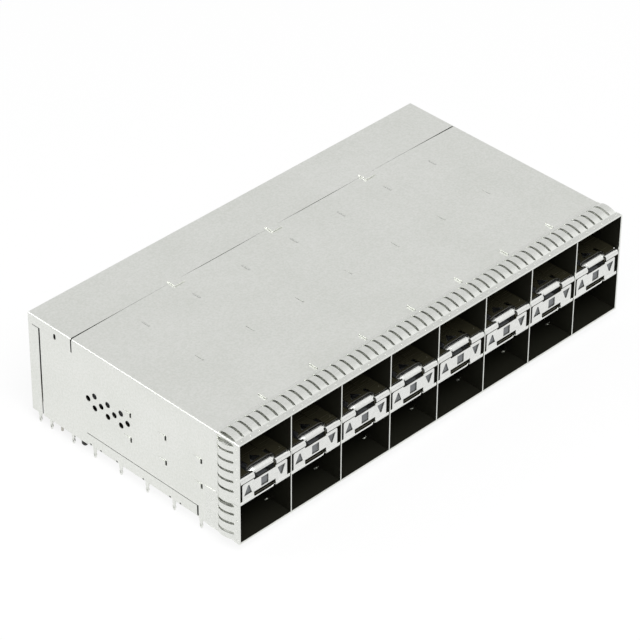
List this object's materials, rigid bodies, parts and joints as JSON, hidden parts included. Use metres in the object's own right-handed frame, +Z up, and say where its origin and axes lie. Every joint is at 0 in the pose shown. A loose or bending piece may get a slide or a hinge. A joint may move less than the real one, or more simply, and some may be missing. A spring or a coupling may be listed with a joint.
{
  "type": "stacked pluggable module cage",
  "caption": "Stacked, ganged sheet-metal cage for pluggable network modules, with spring-finger gaskets, latched port separators, press-fit pins and right-angle connectors inside.",
  "frame": {"origin": "on the board plane, in the middle of the cage's footprint", "axes": "+X along the row of ports, +Y from the port face to the back wall, +Z up from the board"},
  "size_m": [0.116, 0.063, 0.0282],
  "materials": {
    "tin_sheet": "matte tin plating on folded sheet",
    "spring_strip": "satin plated spring strip",
    "bright_sheet": "bright tin plating on folded sheet",
    "black_lcp": "moulded black polymer",
    "clear_pc": "clear moulded polycarbonate",
    "gold_plate": "gold flash on contacts"
  },
  "bodies": {
    "root": {"outer_shell": "tin_sheet", "rear_cover": "tin_sheet", "base_pan": "tin_sheet", "upper_gasket": "spring_strip", "lower_gasket": "spring_strip", "divider_1": "tin_sheet", "divider_2": "tin_sheet", "divider_3": "tin_sheet", "divider_4": "tin_sheet", "divider_5": "tin_sheet", "divider_6": "tin_sheet", "divider_7": "tin_sheet", "separator_1": "bright_sheet", "light_pipes_1": "clear_pc", "housing_1": "black_lcp", "wafers_1": "black_lcp", "contacts_1": "gold_plate", "separator_2": "bright_sheet", "light_pipes_2": "clear_pc", "housing_2": "black_lcp", "wafers_2": "black_lcp", "contacts_2": "gold_plate", "separator_3": "bright_sheet", "light_pipes_3": "clear_pc", "housing_3": "black_lcp", "wafers_3": "black_lcp", "contacts_3": "gold_plate", "separator_4": "bright_sheet", "light_pipes_4": "clear_pc", "housing_4": "black_lcp", "wafers_4": "black_lcp", "contacts_4": "gold_plate", "separator_5": "bright_sheet", "light_pipes_5": "clear_pc", "housing_5": "black_lcp", "wafers_5": "black_lcp", "contacts_5": "gold_plate", "separator_6": "bright_sheet", "light_pipes_6": "clear_pc", "housing_6": "black_lcp", "wafers_6": "black_lcp", "contacts_6": "gold_plate", "separator_7": "bright_sheet", "light_pipes_7": "clear_pc", "housing_7": "black_lcp", "wafers_7": "black_lcp", "contacts_7": "gold_plate", "separator_8": "bright_sheet", "light_pipes_8": "clear_pc", "housing_8": "black_lcp", "wafers_8": "black_lcp", "contacts_8": "gold_plate"}
  },
  "joints": []
}
